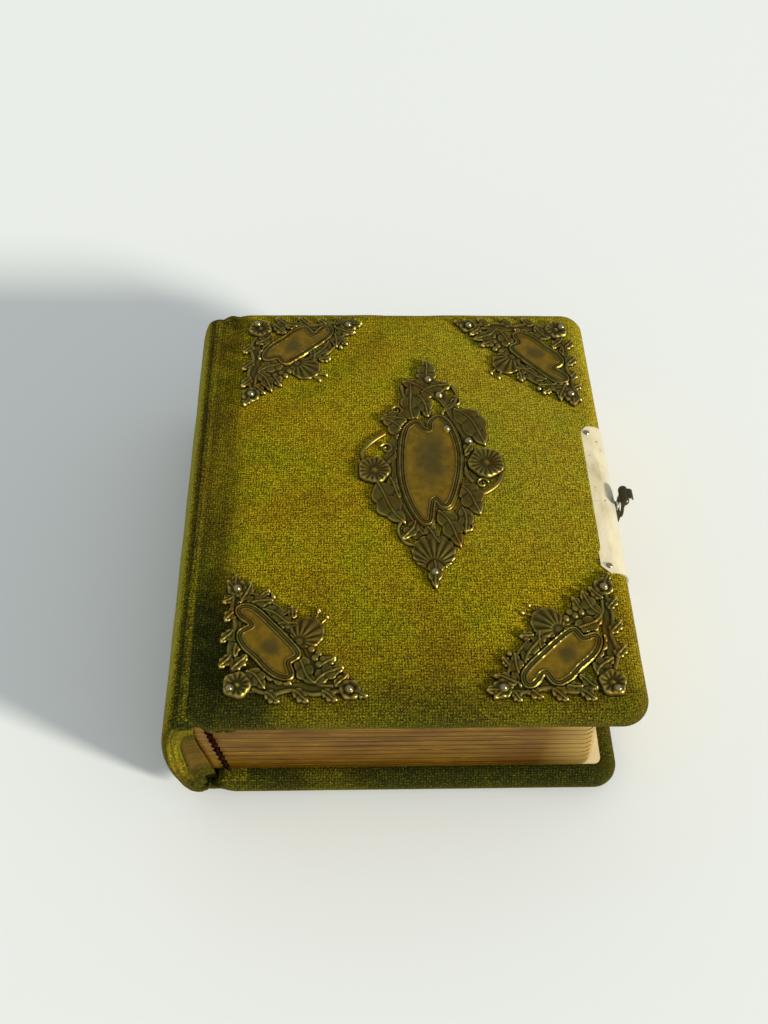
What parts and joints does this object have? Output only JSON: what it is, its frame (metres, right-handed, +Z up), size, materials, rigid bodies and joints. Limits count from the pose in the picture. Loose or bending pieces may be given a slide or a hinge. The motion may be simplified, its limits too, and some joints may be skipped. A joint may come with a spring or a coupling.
{
  "type": "photo album",
  "caption": "Padded velvet photo album with rounded spine, stamped floral ornaments, pocket leaves and a hinged clasp on the fore-edge; the covers open flat.",
  "frame": {"origin": "middle of the closed album's base, on the surface it lies on", "axes": "+Z up through the closed book from back cover to front cover, +X from the spine to the fore-edge, +Y from the tail (the end facing the viewer) to the head"},
  "size_m": [0.1298, 0.1444, 0.0538],
  "materials": {
    "velvet": "cotton velvet, olive yellow, worn nap",
    "board": "millboard, matt",
    "wadding": "cotton wadding",
    "endpaper": "glazed cream paper",
    "leaf_card": "cream card with gilt edges",
    "guard_cloth": "dark book cloth",
    "bronze": "stamped sheet with a bronzed, oxidised finish",
    "nail_brass": "polished domed heads",
    "nickel": "nickel plated sheet, slightly yellowed",
    "dark_iron": "darkened sheet, satin"
  },
  "bodies": {
    "back_cover": {"back_board": "board", "back_padding": "wadding", "back_velvet": "velvet", "back_endpaper": "endpaper", "back_stubs": "board", "lower_clasp_plate": "nickel", "lower_plate_nails": "nail_brass", "hasp_pin": "dark_iron"},
    "spine": {"spine_liner": "board", "spine_velvet": "velvet", "tail_cap": "velvet", "head_cap": "velvet"},
    "front_cover": {"front_board": "board", "front_padding": "wadding", "front_velvet": "velvet", "front_endpaper": "endpaper", "center_ornament": "bronze", "tail_spine_corner": "bronze", "tail_fore_corner": "bronze", "head_spine_corner": "bronze", "head_fore_corner": "bronze", "ornament_nails": "nail_brass", "upper_clasp_plate": "nickel", "upper_plate_nails": "nail_brass", "catch_stud": "nickel"},
    "front_block": {"front_stubs": "board"},
    "hasp": {"hasp": "dark_iron"},
    "pocket_leaf_01": {"leaf_01": "leaf_card", "guard_01": "guard_cloth"},
    "pocket_leaf_02": {"leaf_02": "leaf_card", "guard_02": "guard_cloth"},
    "pocket_leaf_03": {"leaf_03": "leaf_card", "guard_03": "guard_cloth"},
    "pocket_leaf_04": {"leaf_04": "leaf_card", "guard_04": "guard_cloth"},
    "pocket_leaf_05": {"leaf_05": "leaf_card", "guard_05": "guard_cloth"},
    "pocket_leaf_06": {"leaf_06": "leaf_card", "guard_06": "guard_cloth"},
    "pocket_leaf_07": {"leaf_07": "leaf_card", "guard_07": "guard_cloth"},
    "pocket_leaf_08": {"leaf_08": "leaf_card", "guard_08": "guard_cloth"},
    "pocket_leaf_09": {"leaf_09": "leaf_card", "guard_09": "guard_cloth"},
    "pocket_leaf_10": {"leaf_10": "leaf_card", "guard_10": "guard_cloth"},
    "pocket_leaf_11": {"leaf_11": "leaf_card", "guard_11": "guard_cloth"}
  },
  "joints": [
    {"name": "spine_hinge", "type": "hinge", "parent": "back_cover", "child": "spine", "pos_m": [-0.05955, 0, 0.007], "axis": [0, -1, 0], "range_deg": [0, 90]},
    {"name": "front_cover_hinge", "type": "hinge", "parent": "spine", "child": "front_cover", "pos_m": [-0.05955, 0, 0.047], "axis": [0, -1, 0], "range_deg": [0, 90]},
    {"name": "front_block_hinge", "type": "hinge", "parent": "back_cover", "child": "front_block", "pos_m": [-0.05945, 0, 0.027], "axis": [0, -1, 0], "range_deg": [0, 178.01]},
    {"name": "leaf_01_hinge", "type": "hinge", "parent": "front_block", "child": "pocket_leaf_01", "pos_m": [-0.05405, 0, 0.0401], "axis": [0, -1, 0], "range_deg": [-3, 0]},
    {"name": "leaf_02_hinge", "type": "hinge", "parent": "front_block", "child": "pocket_leaf_02", "pos_m": [-0.05371, 0, 0.0372], "axis": [0, -1, 0], "range_deg": [-7, 0]},
    {"name": "leaf_03_hinge", "type": "hinge", "parent": "front_block", "child": "pocket_leaf_03", "pos_m": [-0.05337, 0, 0.0343], "axis": [0, -1, 0], "range_deg": [-11, 0]},
    {"name": "leaf_04_hinge", "type": "hinge", "parent": "front_block", "child": "pocket_leaf_04", "pos_m": [-0.05303, 0, 0.0314], "axis": [0, -1, 0], "range_deg": [-15, 0]},
    {"name": "leaf_05_hinge", "type": "hinge", "parent": "front_block", "child": "pocket_leaf_05", "pos_m": [-0.05269, 0, 0.0285], "axis": [0, -1, 0], "range_deg": [-19, 0]},
    {"name": "leaf_06_hinge", "type": "hinge", "parent": "back_cover", "child": "pocket_leaf_06", "pos_m": [-0.05235, 0, 0.0256], "axis": [0, -1, 0], "range_deg": [0, 20]},
    {"name": "leaf_07_hinge", "type": "hinge", "parent": "back_cover", "child": "pocket_leaf_07", "pos_m": [-0.05201, 0, 0.0227], "axis": [0, -1, 0], "range_deg": [0, 16.5]},
    {"name": "leaf_08_hinge", "type": "hinge", "parent": "back_cover", "child": "pocket_leaf_08", "pos_m": [-0.05167, 0, 0.0198], "axis": [0, -1, 0], "range_deg": [0, 13]},
    {"name": "leaf_09_hinge", "type": "hinge", "parent": "back_cover", "child": "pocket_leaf_09", "pos_m": [-0.05133, 0, 0.0169], "axis": [0, -1, 0], "range_deg": [0, 9.5]},
    {"name": "leaf_10_hinge", "type": "hinge", "parent": "back_cover", "child": "pocket_leaf_10", "pos_m": [-0.05099, 0, 0.014], "axis": [0, -1, 0], "range_deg": [0, 6]},
    {"name": "leaf_11_hinge", "type": "hinge", "parent": "back_cover", "child": "pocket_leaf_11", "pos_m": [-0.05065, 0, 0.0111], "axis": [0, -1, 0], "range_deg": [0, 2.5]},
    {"name": "hasp_hinge", "type": "hinge", "parent": "back_cover", "child": "hasp", "pos_m": [0.06225, -0.004, 0.0065], "axis": [0, 1, 0], "range_deg": [-1.65, 93]}
  ],
  "couplings": [
    {"joint": "spine_hinge", "follows": "front_cover_hinge", "ratio": 1},
    {"joint": "front_block_hinge", "follows": "front_cover_hinge", "ratio": 1.9778},
    {"joint": "leaf_01_hinge", "follows": "front_cover_hinge", "ratio": -0.033333},
    {"joint": "leaf_02_hinge", "follows": "front_cover_hinge", "ratio": -0.077778},
    {"joint": "leaf_03_hinge", "follows": "front_cover_hinge", "ratio": -0.12222},
    {"joint": "leaf_04_hinge", "follows": "front_cover_hinge", "ratio": -0.16667},
    {"joint": "leaf_05_hinge", "follows": "front_cover_hinge", "ratio": -0.21111},
    {"joint": "leaf_06_hinge", "follows": "front_cover_hinge", "ratio": 0.22222},
    {"joint": "leaf_07_hinge", "follows": "front_cover_hinge", "ratio": 0.18333},
    {"joint": "leaf_08_hinge", "follows": "front_cover_hinge", "ratio": 0.14444},
    {"joint": "leaf_09_hinge", "follows": "front_cover_hinge", "ratio": 0.10556},
    {"joint": "leaf_10_hinge", "follows": "front_cover_hinge", "ratio": 0.066667},
    {"joint": "leaf_11_hinge", "follows": "front_cover_hinge", "ratio": 0.027778}
  ]
}
